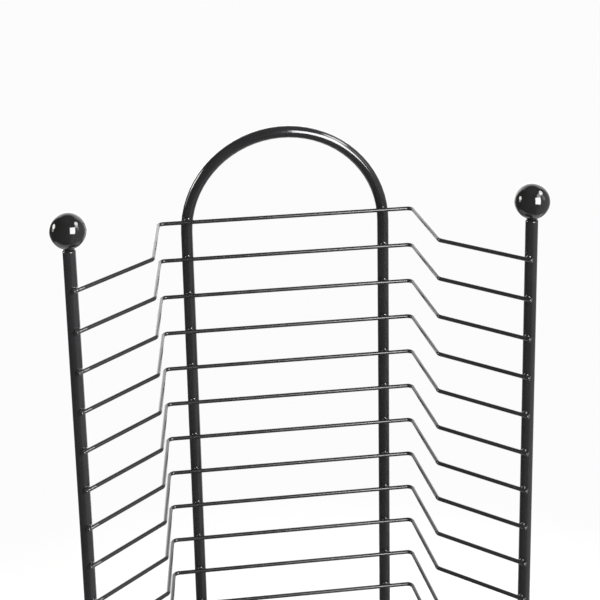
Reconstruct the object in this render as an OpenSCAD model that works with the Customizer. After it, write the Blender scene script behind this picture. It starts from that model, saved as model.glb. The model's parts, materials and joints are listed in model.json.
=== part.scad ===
// Rotating wire display rack for media cases.
// Two front posts with ball finials and one arched rear rod carry a ladder of
// bent shelf wires. The frame stands on a turntable that spins on a ball race
// above a round base. Front is -Y, up is +Z, and the origin is where the
// turntable's axis meets the floor.

/* [Shelf ladder] */
// Height from one shelf wire to the next
slot_pitch = 19.5; // [18.5:0.1:22]
// Height of the lowest shelf wire above the floor
first_wire_z = 36; // [32:0.5:60]
// Diameter of a shelf wire
wire_d = 2; // [1.6:0.1:2.2]
// Centre-line radius of each bend in a shelf wire
bend_r = 2.8; // [2.4:0.1:4]
// Sideways position of the shelf wire's front bend
front_bend_x = 67.5; // [64:0.5:72]
// Distance of the front bend behind the front posts
front_bend_y = 26.5; // [24:0.5:34]
// Sideways position of the shelf wire's back bend
back_bend_x = 63.5; // [58:0.5:64]
// Distance of the back run behind the front posts
back_bend_y = 70.5; // [66:0.5:76]
// How far a shelf wire's end runs on past the line where it meets its post
lap = 2.5; // [1:0.5:4]

/* [Frame] */
// Diameter of the front posts and of the arched rear rod
rod_d = 6; // [5.5:0.5:7]
// Half the distance between the front posts' axes
post_x = 104; // [100:0.5:105]
// Distance of the front posts in front of the turntable's axis
axis_y = 17; // [12:0.5:20]
// Half the distance between the arched rod's legs
arch_x = 49.5; // [46:0.5:52]
// How far the arch's springing line lies below the top shelf wire
arch_drop = 6.8; // [4:0.1:14]

/* [Finials] */
// Diameter of a ball finial
ball_d = 16.6; // [16:0.2:20]
// Height of a ball's centre above the top shelf wire
ball_rise = 26.8; // [24:0.1:34]

/* [Turntable and base] */
// Outside radius of the turntable
table_r = 122; // [122:1:130]
// Outside radius of the base plate
base_r = 124; // [124:1:136]
// Thickness of the base plate
base_t = 5; // [4:0.5:8]
// Height of a rubber foot
foot_h = 4; // [3.5:0.5:6]
// Pitch radius of the ball race
race_r = 52; // [50:0.5:53]
// Diameter of a bearing ball
bearing_d = 6; // [6:0.5:6]
// Number of bearing balls
bearing_count = 20; // [12:1:22]

/* [Hidden] */
NODES = [
  "base_plate", "rubber_feet", "foot_screws", "lower_race", "lower_race_screws",
  "pivot_bolt", "pivot_jam_nut", "pivot_washer", "pivot_cap",
  "ball_cage", "bearing_balls",
  "turntable_plate", "upper_race", "upper_race_screws", "pivot_bushing",
  "rear_arch", "front_post_left", "front_post_right",
  "finial_left", "finial_right", "finial_stud_left", "finial_stud_right",
  "frame_collars", "frame_washers", "frame_nuts",
  "shelf_wire_01", "shelf_wire_02", "shelf_wire_03", "shelf_wire_04",
  "shelf_wire_05", "shelf_wire_06", "shelf_wire_07", "shelf_wire_08",
  "shelf_wire_09", "shelf_wire_10", "shelf_wire_11", "shelf_wire_12",
  "shelf_wire_13", "shelf_wire_14", "shelf_wire_15", "shelf_wire_16",
  "shelf_wire_17", "shelf_wire_18", "shelf_wire_19", "shelf_wire_20",
  "shelf_wire_21", "shelf_wire_22", "shelf_wire_23", "shelf_wire_24"
];
node = "all";
$fn = 64;

// fits
touch = 0.02;        // gap left where two parts meet
thread_gap = 0.03;   // radial gap round a thread
race_run = 0.05;     // radial clearance of a ball in its raceway
play = 0.06;         // clearance of the cage pockets and under the pivot washer
overcut = 1;         // how far a bore runs out of each face of a plate

// screws and studs
screw_r = 2;                             // foot and race screws
screw_tap_r = screw_r + thread_gap;
screw_clear_r = 2.15;
screw_ring = 60.5;                       // screw circle of both races
socket_af = 2.5;                         // hex socket, across flats
pivot_r = 4;
pivot_hex_af = 13;                       // pivot bolt's head and jam nut
stud_r = 2.5;                            // turned-down threaded end of a rod
finial_stud_r = 1.5;
finial_bore_r = finial_stud_r + thread_gap;

// base and ball race, from the floor up
foot_ring = 106;                         // circle of the feet
foot_seat_z = foot_h - 1.4;              // roof of the recess under a foot
base_top = foot_h + base_t;
bearing_r = bearing_d / 2;
groove_r = bearing_r + race_run;
race_web = 1.5;                          // metal left behind a raceway
race_gap = 1.0;                          // half the gap between the races
race_bevel = 0.4;
race_in = 44;
race_out = 66;
bearing_z = base_top + race_web + groove_r;
lower_race_top = bearing_z - race_gap;
upper_race_z = bearing_z + race_gap;

// turntable and the pivot stack on it
deck_z = bearing_z + groove_r + race_web;
deck_t = 2;
deck_top = deck_z + deck_t;
seat_z = deck_top + touch;               // where parts stand on the turntable
bushing_r = 6;
bushing_top = deck_top + 1.26;
pivot_washer_t = 1.6;
pivot_washer_z = bushing_top + play;
pivot_head_z = pivot_washer_z + pivot_washer_t + touch;

// frame
rod_r = rod_d / 2;
wire_r = wire_d / 2;
wire_count = 24;
top_wire_z = first_wire_z + (wire_count - 1) * slot_pitch;
arch_z = top_wire_z - arch_drop;
post_y = -axis_y;
leg_y = back_bend_y - axis_y + wire_r + rod_r + touch;
frame_xy = [[-post_x, post_y], [post_x, post_y], [-arch_x, leg_y], [arch_x, leg_y]];
stud_end = deck_z - 6;
frame_washer_t = 1;
frame_nut_h = 4;
frame_washer_z = deck_z - touch - frame_washer_t;
frame_nut_z = frame_washer_z - touch - frame_nut_h;

// finials
ball_r = ball_d / 2;
ball_z = top_wire_z + ball_rise;
ball_flat = ball_r - 0.28;               // centre to the flat that seats on the post
post_top = ball_z - ball_flat - touch;
post_tip_h = 1.2;                        // height of the post's rounded tip

black = [0.03, 0.03, 0.035];
rubber = [0.05, 0.05, 0.05];
zinc = [0.62, 0.63, 0.65];
nylon = [0.86, 0.85, 0.8];

// ---- helpers ------------------------------------------------------------
// points of an arc, both ends included
function arc(centre, radius, from, to, steps) = [
  for (i = [0:steps])
    let (angle = from + (to - from) * i / steps)
      centre + radius * [cos(angle), sin(angle)]
];

// solid of revolution about Z; the profile's columns are radius and height
module turned(profile) rotate_extrude() polygon(profile);

module bore(bottom, height, radius)
  translate([0, 0, bottom]) cylinder(h = height, r = radius);

// bores right through the base plate and through the turntable
module base_bore(radius) bore(foot_h - overcut, base_t + 2 * overcut, radius);
module deck_bore(radius) bore(deck_z - overcut, deck_t + 2 * overcut, radius);

module hex_prism(bottom, across_flats, height)
  translate([0, 0, bottom]) linear_extrude(height = height)
    circle(r = across_flats / sqrt(3), $fn = 6);

module ring_of(count, radius, first_angle = 0)
  for (i = [0:count - 1])
    rotate([0, 0, first_angle + i * 360 / count]) translate([radius, 0, 0]) children();

module at_feet() ring_of(6, foot_ring, 30) children();
module at_race_screws() ring_of(4, screw_ring) children();
module at_frame() for (place = frame_xy) translate([place[0], place[1], 0]) children();
module at_post(side, z) translate([side * post_x, post_y, z]) children();

// ring swept by the raceway's round section, cut from both races
module raceway()
  translate([0, 0, bearing_z]) rotate_extrude($fn = 128)
    translate([race_r, 0]) circle(r = groove_r, $fn = 64);

// ---- fixed base ----------------------------------------------------------
// disc with both edges rounded
module base_plate() {
  bottom_edge = 1.2;
  top_edge = 2.4;
  color(black) difference() {
    turned(concat(
      [[0, foot_h]],
      arc([base_r - bottom_edge, foot_h + bottom_edge], bottom_edge, -90, 0, 4),
      arc([base_r - top_edge, base_top - top_edge], top_edge, 0, 90, 8),
      [[0, base_top]]), $fn = 128);
    base_bore(pivot_r + thread_gap);
    at_feet() base_bore(screw_tap_r);
    at_race_screws() base_bore(screw_tap_r);
  }
}

// round feet, recessed below for the screw heads
module rubber_feet() color(rubber) at_feet()
  turned(concat(
    [[4.2, 0]],
    arc([9.2, 0.8], 0.8, -90, 0, 4),
    arc([9.2, foot_h - touch - 0.4], 0.4, 0, 90, 4),
    [[2.2, foot_h - touch], [2.2, foot_seat_z], [4.2, foot_seat_z]]), $fn = 64);

// socket screws, heads down
module foot_screws() {
  head_z = foot_seat_z - touch;
  color(zinc) at_feet() difference() {
    turned(concat(
      [[0, foot_h - 3.4]],
      arc([2.9, foot_h - 2.6], 0.8, -90, 0, 4),
      [[3.7, head_z], [screw_r, head_z],
       [screw_r, base_top - 1], [1.6, base_top - 0.6], [0, base_top - 0.6]]), $fn = 48);
    hex_prism(foot_h - 4, socket_af, 1.9);
  }
}

// grooved ring on the base, countersunk for its screws
module lower_race() {
  sink_depth = 2.15;
  color(zinc) difference() {
    turned([
      [race_in, base_top + touch], [race_out, base_top + touch],
      [race_out, lower_race_top - race_bevel], [race_out - race_bevel, lower_race_top],
      [race_in + race_bevel, lower_race_top], [race_in, lower_race_top - race_bevel]
    ], $fn = 128);
    raceway();
    at_race_screws() {
      bore(base_top - 1, 6, screw_clear_r);
      translate([0, 0, lower_race_top - sink_depth])
        cylinder(h = sink_depth + 0.1, r1 = screw_clear_r, r2 = 4.4);
    }
  }
}

// countersunk socket screws, heads up
module lower_race_screws() color(zinc) at_race_screws() difference() {
  turned([
    [0, foot_h + 0.6], [1.5, foot_h + 0.6], [screw_r, foot_h + 1.1],
    [screw_r, lower_race_top - 2.2], [3.9, lower_race_top - 0.3],
    [3.9, lower_race_top - 0.1], [0, lower_race_top - 0.1]
  ], $fn = 48);
  hex_prism(lower_race_top - 1.6, socket_af, 3);
}

// hex bolt up the turntable's axis, head on top
module pivot_bolt() {
  shank_top = deck_top + 3.5;            // inside the head
  color(zinc) union() {
    turned([
      [0, foot_h + 0.5], [3.4, foot_h + 0.5], [pivot_r, foot_h + 1.1],
      [pivot_r, shank_top], [0, shank_top]
    ], $fn = 64);
    hex_prism(pivot_head_z, pivot_hex_af, 5.3);
  }
}

module pivot_jam_nut() color(zinc) difference() {
  hex_prism(base_top + touch, pivot_hex_af, 4);
  bore(base_top - 1, 7, pivot_r + thread_gap);
}

module pivot_washer() color(zinc) difference() {
  translate([0, 0, pivot_washer_z]) cylinder(h = pivot_washer_t, r = 8.5);
  bore(deck_top, 4, 4.1);
}

// domed cap over the bolt's head; heights are from the head's underside
module pivot_cap() {
  inner_r = 7.56;
  roof_z = 5.36;                         // roof of the hollow
  color(black) translate([0, 0, pivot_head_z])
    turned(concat(
      [[inner_r, 0]],
      arc([8.7, 0.5], 0.5, -90, 0, 3),
      arc([5.2, 3.6], 4.0, 0, 57, 8),
      arc([0, -5.407], 14.4, 60, 90, 8),
      [[0, roof_z], [inner_r, roof_z]]), $fn = 96);
}

// ---- ball cage -----------------------------------------------------------
// flat ring with a round pocket for each ball
module ball_cage() {
  thickness = 1.6;
  bevel = 0.2;
  inner = race_r - 5;
  outer = race_r + 4.3;
  color(nylon) difference() {
    translate([0, 0, bearing_z - thickness / 2]) turned([
      [inner, bevel], [inner + bevel, 0], [outer - bevel, 0], [outer, bevel],
      [outer, thickness - bevel], [outer - bevel, thickness],
      [inner + bevel, thickness], [inner, thickness - bevel]
    ], $fn = 128);
    ring_of(bearing_count, race_r) bore(bearing_z - 2, 4, bearing_r + play, $fn = 48);
  }
}

module bearing_balls() color(zinc)
  ring_of(bearing_count, race_r) translate([0, 0, bearing_z]) sphere(r = bearing_r, $fn = 48);

// ---- turntable -----------------------------------------------------------
// flat deck with its rim rounded over into a skirt that hangs above the base
module turntable_plate() {
  rim_r = 6;
  rim_centre = [table_r - rim_r, deck_top - rim_r];
  skirt_in = table_r - deck_t;
  skirt_z = base_top + 1.9;
  bevel = 0.3;
  color(black) difference() {
    turned(concat(
      [[0, deck_z], [table_r - rim_r, deck_z]],
      arc(rim_centre, rim_r - deck_t, 90, 0, 8),
      [[skirt_in, skirt_z + bevel], [skirt_in + bevel, skirt_z],
       [table_r - bevel, skirt_z], [table_r, skirt_z + bevel]],
      arc(rim_centre, rim_r, 0, 90, 12),
      [[0, deck_top]]), $fn = 128);
    deck_bore(bushing_r + touch);
    at_frame() deck_bore(stud_r + 0.1, $fn = 48);
    at_race_screws() deck_bore(screw_clear_r, $fn = 48);
  }
}

// grooved ring under the turntable
module upper_race() color(zinc) difference() {
  turned([
    [race_in, upper_race_z + race_bevel], [race_in + race_bevel, upper_race_z],
    [race_out - race_bevel, upper_race_z], [race_out, upper_race_z + race_bevel],
    [race_out, deck_z - touch], [race_in, deck_z - touch]
  ], $fn = 128);
  raceway();
  at_race_screws() bore(bearing_z, 8, screw_tap_r, $fn = 48);
}

// domed socket screws, heads on the turntable
module upper_race_screws() color(zinc) at_race_screws() difference() {
  turned(concat(
    [[0, upper_race_z + 0.5], [1.6, upper_race_z + 0.5], [screw_r, upper_race_z + 0.9],
     [screw_r, seat_z], [3.8, seat_z], [3.8, deck_top + 0.5]],
    arc([0, deck_top - 1.45], 4.27, 27.5, 66, 8),
    [[0, deck_top + 2.45]]), $fn = 48);
  hex_prism(deck_top + 0.9, socket_af, 3);
}

// flanged sleeve round the bolt, flange on the turntable
module pivot_bushing() {
  bore_r = 4.06;
  flange_r = 10;
  color(nylon) turned([
    [bore_r, deck_z - 3], [bushing_r - 0.4, deck_z - 3], [bushing_r, deck_z - 2.6],
    [bushing_r, seat_z], [flange_r, seat_z], [flange_r, deck_top + 1],
    [flange_r - 0.3, bushing_top], [bore_r, bushing_top]
  ], $fn = 96);
}

// ---- frame ---------------------------------------------------------------
// threaded, turned-down lower end of a rod
module rod_foot() {
  height = seat_z - stud_end;
  translate([0, 0, stud_end])
    turned([[0, 0], [stud_r - 0.5, 0], [stud_r, 0.5], [stud_r, height], [0, height]], $fn = 48);
}

// rod with its stud, from the turntable up to top_z
module upright(top_z) {
  rod_foot();
  translate([0, 0, seat_z]) cylinder(h = top_z - seat_z, r = rod_r);
}

module rear_arch() color(black) union() {
  for (side = [-1, 1]) translate([side * arch_x, leg_y, 0]) upright(arch_z);
  translate([0, leg_y, arch_z]) rotate([90, 0, 0])
    rotate_extrude(angle = 180, $fn = 128) translate([arch_x, 0]) circle(r = rod_r, $fn = 64);
}

// side is -1 on the left and 1 on the right, here and in the finials
module front_post(side) {
  tip_z = post_top - post_tip_h;
  color(black) at_post(side, 0) difference() {
    union() {
      upright(tip_z);
      translate([0, 0, tip_z]) turned([
        [0, 0], [rod_r, 0], [rod_r - 0.1, 0.2], [rod_r - 0.95, 1.1],
        [rod_r - 1.15, post_tip_h], [0, post_tip_h]
      ], $fn = 64);
    }
    bore(post_top - 9, 10, finial_bore_r, $fn = 48);
  }
}

// ball with a flat and a blind bore underneath
module finial(side) {
  cut_below = 5;                         // reach of the flat's cutter below the ball
  color(black) at_post(side, ball_z) difference() {
    sphere(r = ball_r, $fn = 128);
    bore(-ball_r - cut_below, cut_below + ball_r - ball_flat, ball_r);
    bore(-ball_r - 1, 9, finial_bore_r, $fn = 48);
  }
}

// stud joining post and ball; heights are from the post's top
module finial_stud(side) {
  bevel = 0.4;
  bottom = -8.2;
  top = 7;
  color(zinc) at_post(side, post_top) turned([
    [0, bottom], [finial_stud_r - bevel, bottom], [finial_stud_r, bottom + bevel],
    [finial_stud_r, top - bevel], [finial_stud_r - bevel, top], [0, top]
  ], $fn = 48);
}

// collars round the rods' feet, flared at the bottom
module frame_collars() {
  bore_r = rod_r + 0.03;
  color(black) at_frame() translate([0, 0, seat_z])
    turned(concat(
      [[bore_r, 0], [8.2, 0]],
      arc([7.7, 0.7], 0.5, 0, 90, 4),
      arc([7.2, 3.2], 2, 270, 180, 6),
      arc([4.6, 4.4], 0.6, 0, 90, 4),
      [[bore_r, 5]]), $fn = 64);
}

module frame_washers() color(zinc) at_frame() difference() {
  translate([0, 0, frame_washer_z]) cylinder(h = frame_washer_t, r = 5, $fn = 48);
  bore(deck_z - 3, 4, 2.65, $fn = 48);
}

module frame_nuts() color(zinc) at_frame() difference() {
  hex_prism(frame_nut_z, 8, frame_nut_h);
  bore(deck_z - 7, 8, stud_r + thread_gap, $fn = 48);
}

// ---- shelf wires ---------------------------------------------------------
swell = 0.03;                            // growth of a wire's radius in a bend
run_in = 0.2;                            // how far a straight runs into a bend

function unit(vector) = vector / norm(vector);
function mirrored(point) = [-point[0], point[1]];
function rotated(vector, angle) = [
  cos(angle) * vector[0] - sin(angle) * vector[1],
  sin(angle) * vector[0] + cos(angle) * vector[1]
];
// signed angle from one heading to another, positive to the left
function turn_angle(from, to) =
  atan2(from[0] * to[1] - from[1] * to[0], from[0] * to[0] + from[1] * to[1]);

// A shelf wire starts at the left post's front inner side, runs back to its front
// bend and its back bend, crosses behind the cases and returns to the right post.
front_bend = [front_bend_x, front_bend_y - axis_y];
back_bend = [back_bend_x, back_bend_y - axis_y];
weld_offset = rod_r + wire_r + touch;    // post axis to wire axis
to_post = [post_x, post_y] - front_bend;
post_reach = norm(to_post);
weld_reach = sqrt(pow(post_reach, 2) - pow(weld_offset, 2));
right_end = front_bend
  + rotated(unit(to_post), -asin(weld_offset / post_reach)) * (weld_reach + lap);
wire_path = [
  mirrored(right_end), mirrored(front_bend), mirrored(back_bend),
  back_bend, front_bend, right_end
];

module straight(start, end)
  translate([start[0], start[1], 0])
    rotate([0, 0, atan2(end[1] - start[1], end[0] - start[0])])
      rotate([0, 90, 0]) cylinder(h = norm(end - start), r = wire_r, $fn = 48);

// one bend, leaving start along heading and turning by angle
module bend(start, heading, angle) {
  inward = [-heading[1], heading[0]] * (angle > 0 ? 1 : -1);
  centre = start + inward * bend_r;
  start_angle = atan2(-inward[1], -inward[0]);
  translate([centre[0], centre[1], 0])
    rotate([0, 0, angle > 0 ? start_angle : start_angle + angle])
      rotate_extrude(angle = abs(angle), $fn = 96)
        translate([bend_r, 0]) circle(r = wire_r + swell, $fn = 48);
}

// Round wire bent along a flat path. Each bend swells slightly and the straights
// run on into it, as a cold-formed bend does.
module bent_wire(path) {
  last = len(path) - 1;
  headings = [for (i = [0:last - 1]) unit(path[i + 1] - path[i])];
  angles = [for (i = [0:last])
    (i == 0 || i == last) ? 0 : turn_angle(headings[i - 1], headings[i])];
  // length each corner takes off the straights that meet there
  trims = [for (i = [0:last])
    (i == 0 || i == last) ? 0 : bend_r * tan(abs(angles[i]) / 2) - run_in];
  union() {
    for (i = [0:last - 1])
      straight(path[i] + headings[i] * trims[i], path[i + 1] - headings[i] * trims[i + 1]);
    for (i = [1:last - 1])
      bend(path[i] - headings[i - 1] * (trims[i] + run_in), headings[i - 1], angles[i]);
  }
}

// level 1 is the lowest wire
module shelf_wire(level) color(black)
  translate([0, 0, first_wire_z + (level - 1) * slot_pitch]) bent_wire(wire_path);

// ---- assembly ------------------------------------------------------------
function on(name) = node == "all" || node == name;

if (on("base_plate")) base_plate();
if (on("rubber_feet")) rubber_feet();
if (on("foot_screws")) foot_screws();
if (on("lower_race")) lower_race();
if (on("lower_race_screws")) lower_race_screws();
if (on("pivot_bolt")) pivot_bolt();
if (on("pivot_jam_nut")) pivot_jam_nut();
if (on("pivot_washer")) pivot_washer();
if (on("pivot_cap")) pivot_cap();
if (on("ball_cage")) ball_cage();
if (on("bearing_balls")) bearing_balls();
if (on("turntable_plate")) turntable_plate();
if (on("upper_race")) upper_race();
if (on("upper_race_screws")) upper_race_screws();
if (on("pivot_bushing")) pivot_bushing();
if (on("rear_arch")) rear_arch();
if (on("front_post_left")) front_post(-1);
if (on("front_post_right")) front_post(1);
if (on("finial_left")) finial(-1);
if (on("finial_right")) finial(1);
if (on("finial_stud_left")) finial_stud(-1);
if (on("finial_stud_right")) finial_stud(1);
if (on("frame_collars")) frame_collars();
if (on("frame_washers")) frame_washers();
if (on("frame_nuts")) frame_nuts();
if (on("shelf_wire_01")) shelf_wire(1);
if (on("shelf_wire_02")) shelf_wire(2);
if (on("shelf_wire_03")) shelf_wire(3);
if (on("shelf_wire_04")) shelf_wire(4);
if (on("shelf_wire_05")) shelf_wire(5);
if (on("shelf_wire_06")) shelf_wire(6);
if (on("shelf_wire_07")) shelf_wire(7);
if (on("shelf_wire_08")) shelf_wire(8);
if (on("shelf_wire_09")) shelf_wire(9);
if (on("shelf_wire_10")) shelf_wire(10);
if (on("shelf_wire_11")) shelf_wire(11);
if (on("shelf_wire_12")) shelf_wire(12);
if (on("shelf_wire_13")) shelf_wire(13);
if (on("shelf_wire_14")) shelf_wire(14);
if (on("shelf_wire_15")) shelf_wire(15);
if (on("shelf_wire_16")) shelf_wire(16);
if (on("shelf_wire_17")) shelf_wire(17);
if (on("shelf_wire_18")) shelf_wire(18);
if (on("shelf_wire_19")) shelf_wire(19);
if (on("shelf_wire_20")) shelf_wire(20);
if (on("shelf_wire_21")) shelf_wire(21);
if (on("shelf_wire_22")) shelf_wire(22);
if (on("shelf_wire_23")) shelf_wire(23);
if (on("shelf_wire_24")) shelf_wire(24);
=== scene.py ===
import json
import math

import bpy
import numpy as np
from mathutils import Matrix, Quaternion, Vector

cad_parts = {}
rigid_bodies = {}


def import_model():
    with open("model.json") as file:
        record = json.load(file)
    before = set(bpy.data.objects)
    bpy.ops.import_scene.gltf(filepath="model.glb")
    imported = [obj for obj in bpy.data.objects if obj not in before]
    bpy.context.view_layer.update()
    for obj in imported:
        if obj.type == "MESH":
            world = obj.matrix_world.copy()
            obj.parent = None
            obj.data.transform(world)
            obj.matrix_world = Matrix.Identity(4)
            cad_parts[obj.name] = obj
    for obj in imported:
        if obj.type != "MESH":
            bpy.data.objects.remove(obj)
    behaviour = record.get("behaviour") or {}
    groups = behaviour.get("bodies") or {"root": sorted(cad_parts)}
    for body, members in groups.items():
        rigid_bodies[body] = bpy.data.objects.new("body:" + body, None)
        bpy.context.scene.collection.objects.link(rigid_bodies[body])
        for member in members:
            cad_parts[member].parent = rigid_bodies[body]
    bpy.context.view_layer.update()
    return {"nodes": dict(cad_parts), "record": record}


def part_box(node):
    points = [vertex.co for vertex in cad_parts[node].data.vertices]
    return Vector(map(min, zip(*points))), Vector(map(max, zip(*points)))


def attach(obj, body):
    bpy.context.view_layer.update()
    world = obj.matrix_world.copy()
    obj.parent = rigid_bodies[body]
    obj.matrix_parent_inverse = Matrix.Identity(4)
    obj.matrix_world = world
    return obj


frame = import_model()
scene = bpy.context.scene
nodes = frame["nodes"]
MM = 0.001


# ---------------------------------------------------------------- node tools
class Graph:
    """Builds a node tree: g(kind, {input: value or socket}, property=...) returns the node."""

    def __init__(self, tree):
        self.tree = tree
        tree.nodes.clear()

    def __call__(self, kind, ins=None, **props):
        n = self.tree.nodes.new(kind)
        for k, v in props.items():
            setattr(n, k, v)
        for k, v in (ins or {}).items():
            s = n.inputs[k]
            if isinstance(v, bpy.types.NodeSocket):
                self.tree.links.new(v, s)
            elif isinstance(v, bpy.types.Node):
                self.tree.links.new(v.outputs[0], s)
            else:
                s.default_value = v
        return n

    def math(self, op, a, b=None, c=None, clamp=False):
        ins = {0: a}
        if b is not None:
            ins[1] = b
        if c is not None:
            ins[2] = c
        return self("ShaderNodeMath", ins, operation=op, use_clamp=clamp).outputs[0]

    def ramp(self, v, lo, hi, a=0.0, b=1.0, smooth=True):
        """v mapped from lo..hi to a..b, clamped"""
        n = self("ShaderNodeMapRange", {"Value": v, "From Min": lo, "From Max": hi, "To Min": a, "To Max": b},
                 interpolation_type="SMOOTHSTEP" if smooth else "LINEAR", clamp=True)
        return n.outputs[0]

    def mix(self, fac, a, b):
        """colour mix"""
        n = self("ShaderNodeMix", {0: fac, 6: a, 7: b}, data_type="RGBA", clamp_factor=True)
        return n.outputs[2]

    def vmath(self, op, a, b=None, out=0):
        ins = {0: a}
        if b is not None:
            ins[1] = b
        return self("ShaderNodeVectorMath", ins, operation=op).outputs[out]

    def noise(self, vec, scale, detail=2.0, rough=0.5, distort=0.0):
        return self("ShaderNodeTexNoise", {"Vector": vec, "Scale": scale, "Detail": detail, "Roughness": rough,
                                           "Distortion": distort}).outputs[0]

    def bump(self, height, distance, strength=1.0, normal=None):
        ins = {"Strength": strength, "Distance": distance, "Height": height}
        if normal is not None:
            ins["Normal"] = normal
        return self("ShaderNodeBump", ins).outputs[0]


def grey(v, blue=1.0):
    return (v, v, v * blue, 1.0)


def new_material(name):
    m = bpy.data.materials.new(name)
    m.use_nodes = True
    return m, Graph(m.node_tree)


def object_coords(g):
    tc = g("ShaderNodeTexCoord")
    return tc.outputs["Object"]


def upward(g):
    """1 where the surface faces up, 0 where it's steep"""
    geo = g("ShaderNodeNewGeometry")
    z = g("ShaderNodeSeparateXYZ", {0: geo.outputs["Normal"]}).outputs[2]
    return g.ramp(z, 0.55, 0.98)


def finish_material(g, shader):
    g("ShaderNodeOutputMaterial", {"Surface": shader})


# ---------------------------------------------------------------- materials
def enamel(name, base, rough, peel, dust=0.06, blue=1.08, ior=1.52):
    """stoved gloss enamel on drawn steel: long smooth waves, slow gloss changes, a few specks of settled dust"""
    m, g = new_material(name)
    p = object_coords(g)
    slow = g.noise(p, 26.0, 3.0, 0.55)
    cloud = g.noise(p, 140.0, 3.0, 0.6)
    grain = g.noise(p, 2600.0, 2.0, 0.55)
    col = g.mix(g.ramp(slow, 0.3, 0.7), grey(base * 0.82, blue), grey(base * 1.18, blue))
    specks = g.math("MULTIPLY", g.ramp(grain, 0.66, 0.76), g.ramp(cloud, 0.46, 0.68))
    settled = g.math("MULTIPLY", g.math("MULTIPLY", specks, upward(g)), dust)
    col = g.mix(settled, col, (0.15, 0.146, 0.138, 1))
    rr = g.ramp(cloud, 0.3, 0.72, rough * 0.85, rough * 1.2)
    rr = g.math("ADD", rr, g.math("MULTIPLY", settled, 0.3), clamp=True)
    wave = g.noise(p, 120.0, 1.0, 0.4)
    b = g.bump(wave, 0.000024 * peel, 1.0)
    bsdf = g("ShaderNodeBsdfPrincipled", {"Base Color": col, "Roughness": rr, "IOR": ior, "Normal": b})
    finish_material(g, bsdf)
    return m


def powder_coat(name, base, rough):
    """satin powder coat: pebbled skin, circular scuffs from turning, worn rim, dust on top"""
    m, g = new_material(name)
    p = object_coords(g)
    xyz = g("ShaderNodeSeparateXYZ", {0: p})
    radius = g.math("SQRT", g.math("ADD", g.math("MULTIPLY", xyz.outputs[0], xyz.outputs[0]),
                                   g.math("MULTIPLY", xyz.outputs[1], xyz.outputs[1])))
    angle = g.math("ARCTAN2", xyz.outputs[1], xyz.outputs[0])
    polar = g("ShaderNodeCombineXYZ", {0: g.math("MULTIPLY", radius, 950.0), 1: g.math("MULTIPLY", angle, 2.2),
                                       2: g.math("MULTIPLY", xyz.outputs[2], 40.0)})
    arcs = g.noise(polar, 1.0, 4.0, 0.62, 0.15)
    patch = g.noise(p, 22.0, 3.0, 0.55)
    scuff = g.math("MULTIPLY", g.math("MULTIPLY", g.ramp(arcs, 0.62, 0.74), g.ramp(patch, 0.42, 0.74)), upward(g))
    pebble = g("ShaderNodeTexVoronoi", {"Vector": p, "Scale": 1250.0, "Randomness": 1.0}, feature="SMOOTH_F1")
    fine = g.noise(p, 2600.0, 2.0, 0.55)
    cloud = g.noise(p, 60.0, 3.0, 0.6)
    geo = g("ShaderNodeNewGeometry")
    edge = g.ramp(geo.outputs["Pointiness"], 0.53, 0.62)
    worn = g.math("MULTIPLY", edge, g.ramp(cloud, 0.48, 0.62), clamp=True)
    col = g.mix(g.ramp(patch, 0.3, 0.7), grey(base * 0.92, 1.06), grey(base * 1.10, 1.06))
    col = g.mix(g.math("MULTIPLY", scuff, 0.05), col, grey(0.06))
    col = g.mix(g.math("MULTIPLY", worn, 0.35), col, (0.12, 0.12, 0.125, 1))
    lint = g.math("MULTIPLY", g.math("MULTIPLY", g.ramp(fine, 0.6, 0.72), g.ramp(cloud, 0.36, 0.72)), upward(g))
    col = g.mix(g.math("MULTIPLY", lint, 0.03), col, (0.16, 0.156, 0.148, 1))
    rr = g.ramp(cloud, 0.3, 0.7, rough * 0.95, rough * 1.06)
    rr = g.math("SUBTRACT", rr, g.math("MULTIPLY", worn, 0.12), clamp=True)
    b = g.bump(pebble.outputs["Distance"], 0.00007, 0.9)
    b = g.bump(fine, 0.000018, 0.8, b)
    bsdf = g("ShaderNodeBsdfPrincipled", {"Base Color": col, "Roughness": rr, "IOR": 1.5, "Normal": b})
    finish_material(g, bsdf)
    return m


def zinc(name):
    """bright zinc plate: faint tool marks, slightly cloudy gloss, a cool tint that shifts"""
    m, g = new_material(name)
    p = object_coords(g)
    cloud = g.noise(p, 260.0, 3.0, 0.6)
    marks = g.noise(g("ShaderNodeMapping", {"Vector": p, "Scale": (400.0, 400.0, 5200.0)}).outputs[0], 1.0, 3.0, 0.6)
    grain = g.noise(p, 3600.0, 2.0, 0.6)
    col = g.mix(g.ramp(cloud, 0.3, 0.7), (0.55, 0.57, 0.60, 1), (0.68, 0.68, 0.67, 1))
    rr = g.math("ADD", g.ramp(cloud, 0.3, 0.7, 0.22, 0.36), g.math("MULTIPLY", g.ramp(grain, 0.5, 0.8), 0.12))
    b = g.bump(marks, 0.000012, 0.8)
    b = g.bump(grain, 0.000006, 0.6, b)
    bsdf = g("ShaderNodeBsdfPrincipled", {"Base Color": col, "Metallic": 1.0, "Roughness": rr, "Normal": b})
    finish_material(g, bsdf)
    return m


def polished_steel(name):
    m, g = new_material(name)
    p = object_coords(g)
    film = g.noise(p, 420.0, 3.0, 0.6)
    col = g.mix(g.ramp(film, 0.35, 0.7), (0.74, 0.74, 0.75, 1), (0.62, 0.60, 0.55, 1))
    bsdf = g("ShaderNodeBsdfPrincipled", {"Base Color": col, "Metallic": 1.0,
                                          "Roughness": g.ramp(film, 0.3, 0.7, 0.05, 0.14)})
    finish_material(g, bsdf)
    return m


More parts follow.
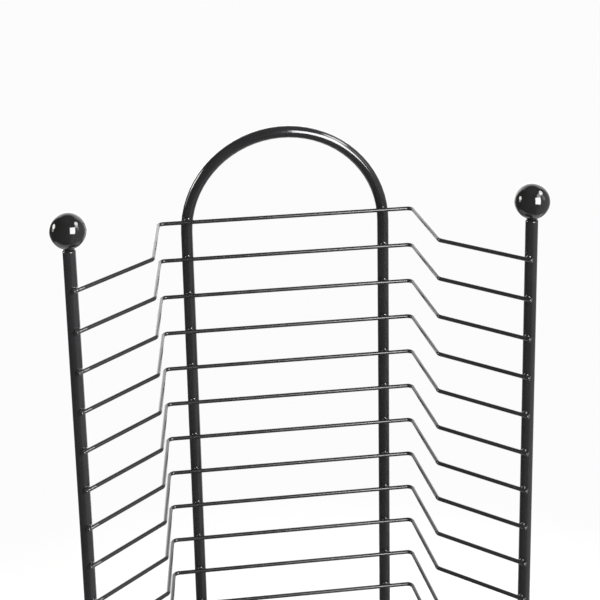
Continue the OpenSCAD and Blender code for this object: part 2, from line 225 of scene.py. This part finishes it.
def nylon(name):
    m, g = new_material(name)
    p = object_coords(g)
    cloud = g.noise(p, 120.0, 3.0, 0.6)
    grain = g.noise(p, 2400.0, 2.0, 0.6)
    col = g.mix(g.ramp(cloud, 0.3, 0.7), (0.78, 0.76, 0.69, 1), (0.86, 0.85, 0.80, 1))
    bsdf = g("ShaderNodeBsdfPrincipled", {
        "Base Color": col, "Roughness": g.ramp(cloud, 0.3, 0.7, 0.38, 0.5), "Subsurface Weight": 0.25,
        "Subsurface Radius": (0.002, 0.0018, 0.0014), "Subsurface Scale": 1.0,
        "Normal": g.bump(grain, 0.00002, 0.7)})
    finish_material(g, bsdf)
    return m


def black_plastic(name, base, rough, coat):
    """moulded black plastic: tiny ripple, hairline handling marks"""
    m, g = new_material(name)
    p = object_coords(g)
    slow = g.noise(p, 60.0, 2.0, 0.5)
    hair = g.noise(g("ShaderNodeMapping", {"Vector": p, "Rotation": (0.4, 0.9, 0.3),
                                           "Scale": (300.0, 5200.0, 900.0)}).outputs[0], 1.0, 3.0, 0.65)
    grain = g.noise(p, 3000.0, 2.0, 0.55)
    marks = g.ramp(hair, 0.66, 0.76)
    col = g.mix(g.ramp(slow, 0.3, 0.7), grey(base * 0.85, 1.05), grey(base * 1.18, 1.05))
    col = g.mix(g.math("MULTIPLY", marks, 0.10), col, grey(0.05))
    rr = g.math("ADD", g.ramp(slow, 0.3, 0.7, rough * 0.85, rough * 1.2), g.math("MULTIPLY", marks, 0.05))
    b = g.bump(slow, 0.00001, 1.0)
    b = g.bump(grain, 0.0000015, 0.6, b)
    bsdf = g("ShaderNodeBsdfPrincipled", {
        "Base Color": col, "Roughness": rr, "IOR": 1.52, "Normal": b, "Coat Weight": coat, "Coat Roughness": 0.04})
    finish_material(g, bsdf)
    return m


def rubber(name):
    m, g = new_material(name)
    p = object_coords(g)
    cloud = g.noise(p, 200.0, 3.0, 0.6)
    grain = g.noise(p, 1800.0, 3.0, 0.6)
    col = g.mix(g.ramp(cloud, 0.35, 0.7), grey(0.018), grey(0.034))
    bsdf = g("ShaderNodeBsdfPrincipled", {"Base Color": col, "Roughness": g.ramp(cloud, 0.3, 0.7, 0.62, 0.82),
                                          "IOR": 1.45, "Normal": g.bump(grain, 0.00005, 0.8)})
    finish_material(g, bsdf)
    return m


MATERIALS = {
    "frame_enamel": enamel("frame_enamel", 0.0092, 0.105, 1.0),
    "wire_enamel": enamel("wire_enamel", 0.0095, 0.23, 0.5, dust=0.03, ior=1.50),
    "finial_black": black_plastic("finial_black", 0.0062, 0.075, 0.0),
    "base_powder_coat": powder_coat("base_powder_coat", 0.0120, 0.46),
    "zinc_steel": zinc("zinc_steel"),
    "bearing_steel": polished_steel("bearing_steel"),
    "nylon": nylon("nylon"),
    "cap_plastic": black_plastic("cap_plastic", 0.013, 0.38, 0.0),
    "foot_rubber": rubber("foot_rubber"),
}
slot_of = {s["node"]: s["material_slot"] for s in frame["record"]["subparts"]}
for name, ob in nodes.items():
    ob.data.materials.clear()
    ob.data.materials.append(MATERIALS[slot_of[name]])


# ---------------------------------------------------------------- welds
def box_mm(node):
    lo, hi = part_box(node)
    return np.array(lo) * 1000.0, np.array(hi) * 1000.0


WIRES = sorted(n for n in nodes if n.startswith("shelf_wire_"))
post_lo, post_hi = box_mm("front_post_right")
POST = np.array([(post_lo[0] + post_hi[0]) / 2, (post_lo[1] + post_hi[1]) / 2])
arch_lo, arch_hi = box_mm("rear_arch")
ROD_R = (arch_hi[1] - arch_lo[1]) / 2
LEG = np.array([arch_hi[0] - ROD_R, (arch_lo[1] + arch_hi[1]) / 2])
levels = []
for w in WIRES:
    lo, hi = box_mm(w)
    levels.append((lo[2] + hi[2]) / 2)


def wire_radius():
    """half the height of the straight back run, away from its bends"""
    co = np.array([v.co for v in nodes[WIRES[0]].data.vertices], float) * 1000.0
    back = co[co[:, 1] > co[:, 1].max() - 0.5]
    tip = co[co[:, 1] < co[:, 1].min() + 1.5]
    return float(round(min(np.ptp(tip[:, 2]), np.ptp(back[:, 2])) / 2, 2)) or 1.0


WIRE_R = wire_radius()
ARCH_R = LEG[0]                             # radius of the arch's centre line
ARCH_Z = arch_hi[2] - ROD_R - ARCH_R        # height at which the legs run into the arch


def wire_end():
    """end centre and outward direction of the right-hand end of a shelf wire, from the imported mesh, in mm"""
    co = np.array([v.co for v in nodes[WIRES[0]].data.vertices], float) * 1000.0
    z = levels[0]
    right = co[co[:, 0] > LEG[0] + 8]
    # the end face is the ring of points nearest the post's front
    far = right[np.argsort(right[:, 1])][:1][0]
    ring = right[np.linalg.norm(right - far, axis=1) < 2 * WIRE_R + 0.05]
    d_guess = None
    centre = np.array([(ring[:, 0].min() + ring[:, 0].max()) / 2, (ring[:, 1].min() + ring[:, 1].max()) / 2, z])
    flat = ring[:, :2] - centre[:2]
    u, s, vt = np.linalg.svd(flat - flat.mean(0))
    across = vt[0]
    d = np.array([across[1], -across[0]])
    if d[1] > 0:
        d = -d
    return centre[:2], d


END, END_DIR = wire_end()


def surface_nets(f, lo, hi, step):
    """closed mesh of f = 0 (f < 0 inside) on a grid from lo to hi; the points are then pulled onto the surface"""
    lo, hi = np.array(lo, float), np.array(hi, float)
    n = np.ceil((hi - lo) / step).astype(int) + 1
    axes = [lo[i] + step * np.arange(n[i]) for i in range(3)]
    X, Y, Z = np.meshgrid(*axes, indexing="ij")
    P = np.stack([X, Y, Z], -1)
    v = f(P.reshape(-1, 3)).reshape(n)
    inside = v < 0
    total = np.zeros(tuple(n - 1) + (3,))
    count = np.zeros(tuple(n - 1))
    corners = [(a, b, c) for a in (0, 1) for b in (0, 1) for c in (0, 1)]

    def part(arr, c):
        return arr[c[0]:c[0] + n[0] - 1, c[1]:c[1] + n[1] - 1, c[2]:c[2] + n[2] - 1]

    for i, a in enumerate(corners):
        for b in corners[i + 1:]:
            if sum(x != y for x, y in zip(a, b)) != 1:
                continue
            va, vb = part(v, a), part(v, b)
            cross = (va < 0) != (vb < 0)
            t = np.where(cross, va / np.where(cross, va - vb, 1.0), 0.0)
            pa, pb = part(P, a), part(P, b)
            total += np.where(cross[..., None], pa + (pb - pa) * t[..., None], 0.0)
            count += cross
    used = count > 0
    index = -np.ones(used.shape, int)
    index[used] = np.arange(used.sum())
    verts = total[used] / count[used][:, None]
    faces = []
    for ax in range(3):
        sl0 = [slice(None)] * 3
        sl1 = [slice(None)] * 3
        sl0[ax], sl1[ax] = slice(0, -1), slice(1, None)
        a, b = inside[tuple(sl0)], inside[tuple(sl1)]
        change = a != b
        o1, o2 = [i for i in range(3) if i != ax]
        ii = np.argwhere(change)
        ok = (ii[:, o1] > 0) & (ii[:, o2] > 0) & (ii[:, o1] < n[o1] - 1) & (ii[:, o2] < n[o2] - 1)
        for c in ii[ok]:
            q = []
            for d1, d2 in ((-1, -1), (0, -1), (0, 0), (-1, 0)):
                k = c.copy()
                k[o1] += d1
                k[o2] += d2
                q.append(index[tuple(k)])
            flip = a[tuple(c)] != (ax == 1)
            faces.append(q if flip else q[::-1])
    for _ in range(3):
        e = 0.01
        grad = np.stack([(f(verts + e * np.eye(3)[i]) - f(verts - e * np.eye(3)[i])) / (2 * e) for i in range(3)], -1)
        g2 = np.maximum((grad ** 2).sum(1), 0.05)
        move = -(f(verts) / g2)[:, None] * grad
        size = np.linalg.norm(move, axis=1, keepdims=True)
        verts = verts + move * np.minimum(1.0, 0.5 * step / np.maximum(size, 1e-9))
    return verts, faces


def smooth_min(a, b, k):
    h = np.clip(k - np.abs(a - b), 0, None) / k
    return np.minimum(a, b) - h * h * h * k / 6.0


def lumps(p, seed, scale, size):
    """smooth irregularity from a few sine waves, the same on every run"""
    rng = np.random.default_rng(seed)
    out = np.zeros(len(p))
    for _ in range(7):
        k = rng.normal(size=3) * scale
        out += np.sin(p @ k + rng.uniform(0, 6.28))
    return out * size / 7.0


SINK = 0.025        # how far the skin lies under the rods away from the weld


def weld_field(axis_xy, wire_point, wire_dir, end, blend_r, seed, nugget, above=None):
    """smooth union of a rod and a level wire at z = 0, with a squeezed-out nugget between them; the rod is
    vertical, or the arch when the wire lies `above` mm over the start of the arch"""
    rod_axis = np.array(axis_xy, float)
    if above is not None:
        axis_xy = np.array([math.sqrt(rod_axis[0] ** 2 - above ** 2), rod_axis[1]])
    d = np.array([wire_dir[0], wire_dir[1], 0.0])
    w0 = np.array([wire_point[0], wire_point[1], 0.0])
    to_rod = np.array([axis_xy[0], axis_xy[1], 0.0]) - w0
    to_rod -= d * (to_rod @ d)
    foot = w0 + d * ((np.array([axis_xy[0], axis_xy[1], 0.0]) - w0) @ d)
    nrm = to_rod / np.linalg.norm(to_rod)
    contact = foot + nrm * WIRE_R
    rng = np.random.default_rng(seed + 77)
    shift = rng.normal(size=3) * np.array([0.12, 0.12, 0.10])
    scale = 1.0 + rng.normal() * 0.06

    def f(p):
        if above is None:
            rod = np.hypot(p[:, 0] - axis_xy[0], p[:, 1] - axis_xy[1]) - (ROD_R - SINK)
        else:
            off = np.hypot(p[:, 0], np.maximum(p[:, 2] + above, 0.0)) - rod_axis[0]
            rod = np.hypot(off, p[:, 1] - rod_axis[1]) - (ROD_R - SINK)
        rel = p - foot
        s = rel @ d
        rho = np.linalg.norm(rel - s[:, None] * d, axis=1)
        if end is None:
            wire = rho - (WIRE_R - SINK)
        else:
            grow = np.clip((s - (end - 1.6)) / 1.1, 0, 1)
            grow = grow * grow * (3 - 2 * grow)
            r = WIRE_R - SINK + (0.085 + SINK) * grow
            rr = 0.5
            qx, qy = rho - (r - rr), s - (end + 0.02 - rr)
            wire = np.hypot(np.maximum(qx, 0), np.maximum(qy, 0)) + np.minimum(np.maximum(qx, qy), 0) - rr
        field = smooth_min(rod, wire, blend_r)
        q = p - (contact + shift)
        a = np.stack([(q @ d) / nugget[0], (q @ nrm) / nugget[1], q[:, 2] / nugget[2]], 1) / scale
        ln = np.linalg.norm(a, axis=1)
        blob = (ln - 1.0) * min(nugget)
        field = smooth_min(field, blob, blend_r * 0.6)
        near = np.exp(-((p - contact) ** 2).sum(1) / 3.2)
        return field + lumps(p, seed, 1.9, 0.13) * near

    return f, foot, d, nrm


def weld_mesh(axis_xy, wire_point, wire_dir, end, blend_r, seed, nugget, reach, step, above=None):
    f, foot, d, nrm = weld_field(axis_xy, wire_point, wire_dir, end, blend_r, seed, nugget, above)
    centre = foot + nrm * 1.0

    def cut(p):
        rel = p - centre
        s = rel @ d
        t = rel @ nrm
        ahead = reach[0] if end is None else max(reach[0], end + 1.0)
        a = np.where(s > 0, s / ahead, s / reach[0])
        m = (a ** 4 + (t / reach[1]) ** 4 + (rel[:, 2] / reach[2]) ** 4) ** 0.25
        return np.maximum(f(p), (m - 1.0) * min(reach))

    r = max(reach[0], (end or 0) + 1.2) + 0.5
    lo = centre - np.array([r, r, reach[2] + 0.4])
    hi = centre + np.array([r, r, reach[2] + 0.4])
    return surface_nets(cut, lo, hi, step)


def join_levels(name, variants, mirror=False, order_seed=0, top=None):
    """one piece made of a weld at each level, picked from the variants; the top level can have its own"""
    verts, faces, base = [], [], 0
    rng = np.random.default_rng(order_seed)
    picks = [int(rng.integers(len(variants))) for _ in levels]
    for z, k in zip(levels, picks):
        v, fc = top if top is not None and z == levels[-1] else variants[k]
        v = v + np.array([0, 0, z])
        if mirror:
            v = v * np.array([-1, 1, 1])
        verts.append(v)
        faces += [[i + base for i in (q[::-1] if mirror else q)] for q in fc]
        base += len(v)
    co = np.concatenate(verts) * MM
    me = bpy.data.meshes.new(name)
    me.from_pydata(co.tolist(), [], faces)
    me.update()
    for poly in me.polygons:
        poly.use_smooth = True
    ob = bpy.data.objects.new(name, me)
    scene.collection.objects.link(ob)
    me.materials.append(MATERIALS["weld_enamel"])
    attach(ob, "rack")
    return ob


MATERIALS["weld_enamel"] = enamel("weld_enamel", 0.0092, 0.06, 1.0, dust=0.03, ior=1.72)

foot_end = float(np.dot(END - POST, END_DIR))     # end of the wire past its nearest point to the post's axis
STEP = 0.2
post_kinds, leg_kinds, leg_top = {}, {}, {}
LEG_WIRE = LEG + np.array([0.0, -(ROD_R + WIRE_R + 0.02)])
for side in (0, 1):
    post_kinds[side] = [weld_mesh(POST, END, END_DIR, foot_end, 1.1, 100 * side + k, (1.5, 0.85, 1.35),
                                  (3.9, 3.1, 2.8), STEP) for k in range(4)]
    leg_kinds[side] = [weld_mesh(LEG, LEG_WIRE, np.array([1.0, 0.0]), None, 1.1, 500 + 100 * side + k,
                                 (1.35, 0.8, 1.25), (3.4, 2.9, 2.8), STEP) for k in range(4)]
    leg_top[side] = weld_mesh(LEG, LEG_WIRE, np.array([1.0, 0.0]), None, 1.1, 700 + side, (1.35, 0.8, 1.25),
                              (3.4, 2.9, 2.8), STEP, above=levels[-1] - ARCH_Z)
join_levels("post_welds_right", post_kinds[0], False, 1)
join_levels("post_welds_left", post_kinds[1], True, 2)
join_levels("leg_welds_right", leg_kinds[0], False, 3, leg_top[0])
join_levels("leg_welds_left", leg_kinds[1], True, 4, leg_top[1])


# ---------------------------------------------------------------- stage
BACKGROUND = 0.972


def make_floor():
    me = bpy.data.meshes.new("floor")
    rings = [0.0, 0.06, 0.12, 0.2, 0.3, 0.45, 0.7, 1.1, 1.8, 3.0, 5.0, 9.0]
    seg = 96
    verts, faces = [(0, 0, 0)], []
    for r in rings[1:]:
        verts += [(r * math.cos(2 * math.pi * i / seg), r * math.sin(2 * math.pi * i / seg), 0) for i in range(seg)]
    for i in range(seg):
        faces.append((0, 1 + i, 1 + (i + 1) % seg))
    for k in range(len(rings) - 2):
        a, b = 1 + k * seg, 1 + (k + 1) * seg
        for i in range(seg):
            j = (i + 1) % seg
            faces.append((a + i, b + i, b + j, a + j))
    me.from_pydata(verts, [], faces)
    me.update()
    ob = bpy.data.objects.new("studio_floor", me)
    scene.collection.objects.link(ob)
    ob.location.z = -0.0002
    m, g = new_material("studio_floor")
    p = object_coords(g)
    xyz = g("ShaderNodeSeparateXYZ", {0: p})
    radius = g.math("SQRT", g.math("ADD", g.math("MULTIPLY", xyz.outputs[0], xyz.outputs[0]),
                                   g.math("MULTIPLY", xyz.outputs[1], xyz.outputs[1])))
    cloud = g.noise(p, 9.0, 4.0, 0.55)
    grain = g.noise(p, 900.0, 2.0, 0.6)
    col = g.mix(g.ramp(cloud, 0.3, 0.7), (0.80, 0.80, 0.80, 1), (0.83, 0.83, 0.825, 1))
    near = g("ShaderNodeBsdfPrincipled", {"Base Color": col, "Roughness": 0.6, "Specular IOR Level": 0.3,
                                          "Normal": g.bump(grain, 0.00008, 0.5)})
    far = g("ShaderNodeEmission", {"Color": (1, 1, 1, 1), "Strength": BACKGROUND})
    mix = g("ShaderNodeMixShader", {0: g.ramp(radius, 0.26, 0.62), 1: near, 2: far})
    finish_material(g, mix)
    me.materials.append(m)
    ob.visible_glossy = False
    return ob


make_floor()


def make_world():
    world = bpy.data.worlds.new("studio")
    scene.world = world
    world.use_nodes = True
    g = Graph(world.node_tree)
    tc = g("ShaderNodeTexCoord")
    d = g.vmath("NORMALIZE", tc.outputs["Generated"])
    xyz = g("ShaderNodeSeparateXYZ", {0: d})
    x, y, z = xyz.outputs
    # a white sweep behind the rack and under it, a dim room in front that is a little lighter on the right
    azim = g.math("MULTIPLY", g.math("ARCTAN2", x, y), 180.0 / math.pi)
    elev = g.math("MULTIPLY", g.math("ARCSINE", z), 180.0 / math.pi)

    def window(v, lo, hi, soft):
        return g.math("MULTIPLY", g.ramp(v, lo - soft, lo + soft), g.ramp(v, hi - soft, hi + soft, 1.0, 0.0))

    back = g.math("MULTIPLY", window(azim, -38.0, 58.0, 9.0), window(elev, -40.0, 47.0, 9.0))
    fill = g.math("MULTIPLY", window(azim, 62.0, 160.0, 14.0), window(elev, -62.0, 30.0, 14.0))
    low = g.math("MULTIPLY", window(azim, -38.0, 34.0, 6.0), window(elev, -16.0, 27.0, 6.0))
    edge = g.math("SUBTRACT", g.ramp(y, 0.05, -0.35, 0.0, 24.0), g.ramp(x, -0.3, -0.65, 0.0, 9.0))
    under = g.ramp(g.math("ADD", elev, edge), -45.0, -56.0)
    total = g.math("ADD", g.math("MULTIPLY", back, 1.9), g.math("MULTIPLY", fill, 0.36))
    total = g.math("ADD", total, g.math("MULTIPLY", low, 1.60))
    total = g.math("ADD", total, g.math("MULTIPLY", under, 0.92))
    total = g.math("ADD", total, g.math("MULTIPLY", g.ramp(elev, 50.0, 80.0), 0.10))
    total = g.math("ADD", total, 0.15)
    path = g("ShaderNodeLightPath")
    lit = g("ShaderNodeBackground", {"Color": (1, 1, 1, 1), "Strength": total})
    seen = g("ShaderNodeBackground", {"Color": (1, 1, 1, 1), "Strength": BACKGROUND})
    mix = g("ShaderNodeMixShader", {0: path.outputs["Is Camera Ray"], 1: lit, 2: seen})
    g("ShaderNodeOutputWorld", {"Surface": mix})
    return world


make_world()


def area(name, location, target, size, radiance, colour=(1, 1, 1), shape="ELLIPSE", turn=0.0):
    data = bpy.data.lights.new(name, "AREA")
    data.shape = shape
    data.size, data.size_y = size
    data.energy = radiance * math.pi * size[0] * size[1] * (math.pi / 4 if shape == "ELLIPSE" else 1.0)
    data.color = colour
    ob = bpy.data.objects.new(name, data)
    scene.collection.objects.link(ob)
    ob.location = location
    ob.rotation_mode = "QUATERNION"
    ob.rotation_quaternion = ((Vector(target) - Vector(location)).to_track_quat("-Z", "Y")
                              @ Quaternion((0.0, 0.0, 1.0), math.radians(turn)))
    ob.visible_camera = False
    return ob


area("softbox_main", (0.44, -0.84, 0.80), (0.0, 0.0, 0.50), (0.57, 0.68), 23.0, shape="RECTANGLE", turn=-12.0)
high = area("softbox_high", (1.12, -0.20, 1.58), (0.0, 0.0, 0.45), (0.68, 0.55), 15.0)
area("glow_right", (1.40, -0.52, 1.06), (0.0, 0.0, 0.45), (0.50, 0.75), 2.0, (1.0, 0.97, 0.98))
area("glow_near", (0.265, -0.165, 0.735), (0.0, 0.0, 0.50), (0.21, 0.11), 6.0, (1.0, 0.98, 0.98))
area("blob_left", (-1.50, 0.35, 0.94), (0.0, 0.0, 0.45), (0.66, 0.46), 13.5, (1.0, 0.97, 0.91))
area("glow_left", (-1.58, 0.27, 0.66), (0.0, 0.0, 0.45), (0.48, 0.56), 4.6, (1.0, 0.97, 0.92))

# a flag keeps the high softbox off the shelf wires
flagged = bpy.data.collections.new("flagged_from_high")
for ob in scene.objects:
    if ob.name.startswith("shelf_wire_"):
        flagged.objects.link(ob)
for link in flagged.collection_objects:
    link.light_linking.link_state = "EXCLUDE"
high.light_linking.receiver_collection = flagged

# ---------------------------------------------------------------- camera
cam_data = bpy.data.cameras.new("camera")
cam = bpy.data.objects.new("camera", cam_data)
scene.collection.objects.link(cam)
scene.camera = cam
FOCAL, CX, CY = 1392.54, 283.71, 37.93
yaw, pitch, roll = 0.11548, -0.23805, -0.02222
fwd = Vector((math.sin(yaw) * math.cos(pitch), math.cos(yaw) * math.cos(pitch), math.sin(pitch)))
right = Vector((math.cos(yaw), -math.sin(yaw), 0.0))
up = right.cross(fwd)
c, s = math.cos(roll), math.sin(roll)
r2, u2 = right * c + up * s, right * (-s) + up * c
m = Matrix((r2, u2, -fwd)).transposed().to_4x4()
m.translation = Vector((-0.07444, -0.59439, 0.73395))
cam.matrix_world = m
cam_data.sensor_fit = "HORIZONTAL"
cam_data.sensor_width = 36.0
cam_data.lens = FOCAL / 600.0 * 36.0
cam_data.clip_start, cam_data.clip_end = 0.02, 60.0
# the frame is the upper part of a taller view: the lens is shifted while the camera stands here, and only then
here = sum(cam.matrix_world.translation)
for axis, amount in (("shift_x", (300.0 - CX) / 600.0), ("shift_y", (CY - 300.0) / 600.0)):
    driver = cam_data.driver_add(axis).driver
    driver.type = "SCRIPTED"
    for name, channel in (("px", "LOC_X"), ("py", "LOC_Y"), ("pz", "LOC_Z")):
        var = driver.variables.new()
        var.name = name
        var.type = "TRANSFORMS"
        var.targets[0].id = cam
        var.targets[0].transform_type = channel
        var.targets[0].transform_space = "WORLD_SPACE"
    driver.expression = "%.6f if abs(px + py + pz - %.5f) < 0.002 else 0.0" % (amount, here)

scene.view_settings.view_transform = "Standard"
scene.view_settings.look = "None"
scene.view_settings.exposure = 0.0
scene.view_settings.gamma = 1.0
